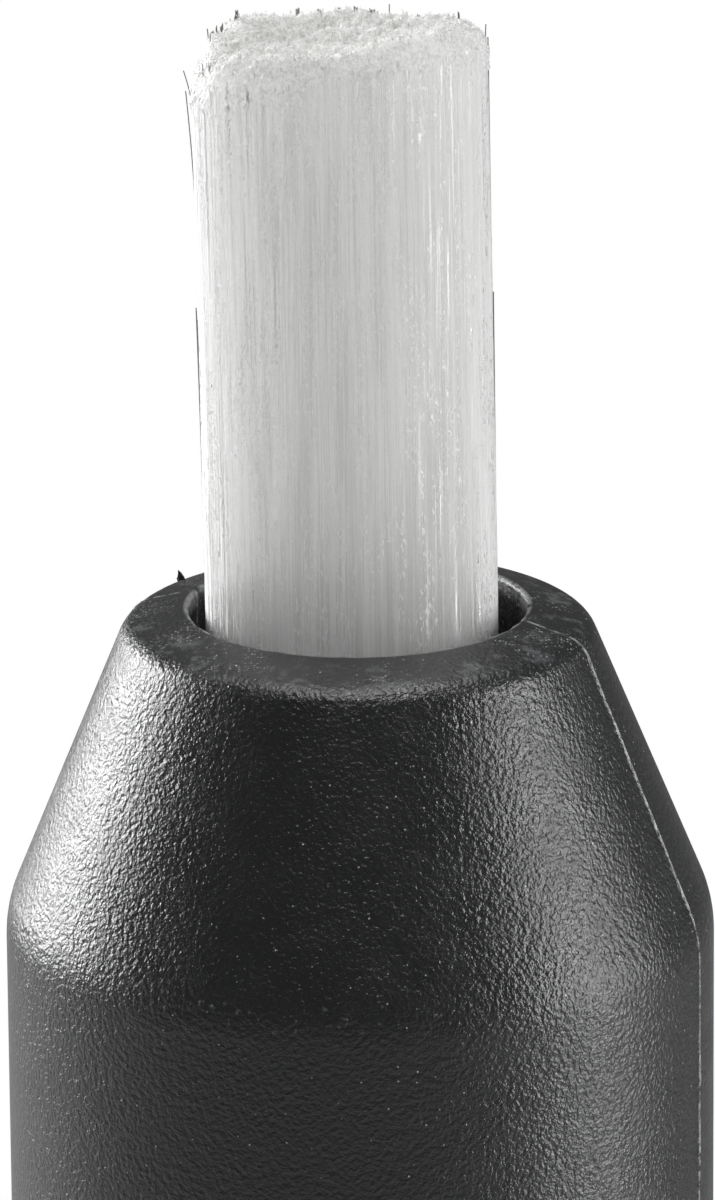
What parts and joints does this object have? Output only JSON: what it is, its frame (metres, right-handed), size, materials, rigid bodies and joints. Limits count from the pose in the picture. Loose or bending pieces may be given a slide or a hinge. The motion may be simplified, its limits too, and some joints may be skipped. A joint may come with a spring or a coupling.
{
  "type": "fibreglass cleaning pen",
  "caption": "Pen-shaped cleaning tool: a twist knob feeds a stiff glass-fibre bundle out of the tapered, grained nose of a round black barrel.",
  "frame": {"origin": "centre of the rear end face, on the knob's end plug", "axes": "+Z along the pen towards the fibre tips, -Y towards the picture's viewer, +X to the viewer's right"},
  "size_m": [0.0098, 0.0098, 0.1159],
  "materials": {
    "barrel_plastic": "coarse moulded grain",
    "guide_plastic": "moulded",
    "collar_plastic": "satin",
    "friction_rubber": "matt",
    "washer_steel": "rolled",
    "knob_plastic": "fine moulded grain",
    "plug_plastic": "satin",
    "tube_brass": "drawn",
    "nut_plastic": "moulded",
    "screw_plastic": "moulded",
    "carrier_plastic": "moulded",
    "spring_steel": "bright",
    "ferrule_brass": "drawn",
    "glass_fibre": "loose fibre ends, silky along the strands"
  },
  "bodies": {
    "barrel": {"barrel": "barrel_plastic", "guide_sleeve": "guide_plastic", "retaining_collar": "collar_plastic", "friction_ring": "friction_rubber", "thrust_washer": "washer_steel"},
    "knob": {"twist_knob": "knob_plastic", "end_plug": "plug_plastic", "drive_tube": "tube_brass", "drive_nut": "nut_plastic"},
    "feed": {"lead_screw": "screw_plastic", "carrier": "carrier_plastic", "collet_ring": "spring_steel"},
    "refill": {"ferrule": "ferrule_brass", "fibre_bundle": "glass_fibre"}
  },
  "joints": [
    {"name": "knob_turn", "type": "hinge", "parent": "barrel", "child": "knob", "pos_m": [0, 0, 0], "axis": [0, 0, 1], "range_deg": [-720, 1980]},
    {"name": "refill_feed", "type": "slide", "parent": "barrel", "child": "feed", "axis": [0, 0, 1], "range_m": [-0.008, 0.022]},
    {"name": "refill_pull", "type": "slide", "parent": "feed", "child": "refill", "axis": [0, 0, 1], "range_m": [0, 0.036]}
  ],
  "couplings": [
    {"joint": "knob_turn", "follows": "refill_feed", "rad_per_m": 1570.8}
  ]
}
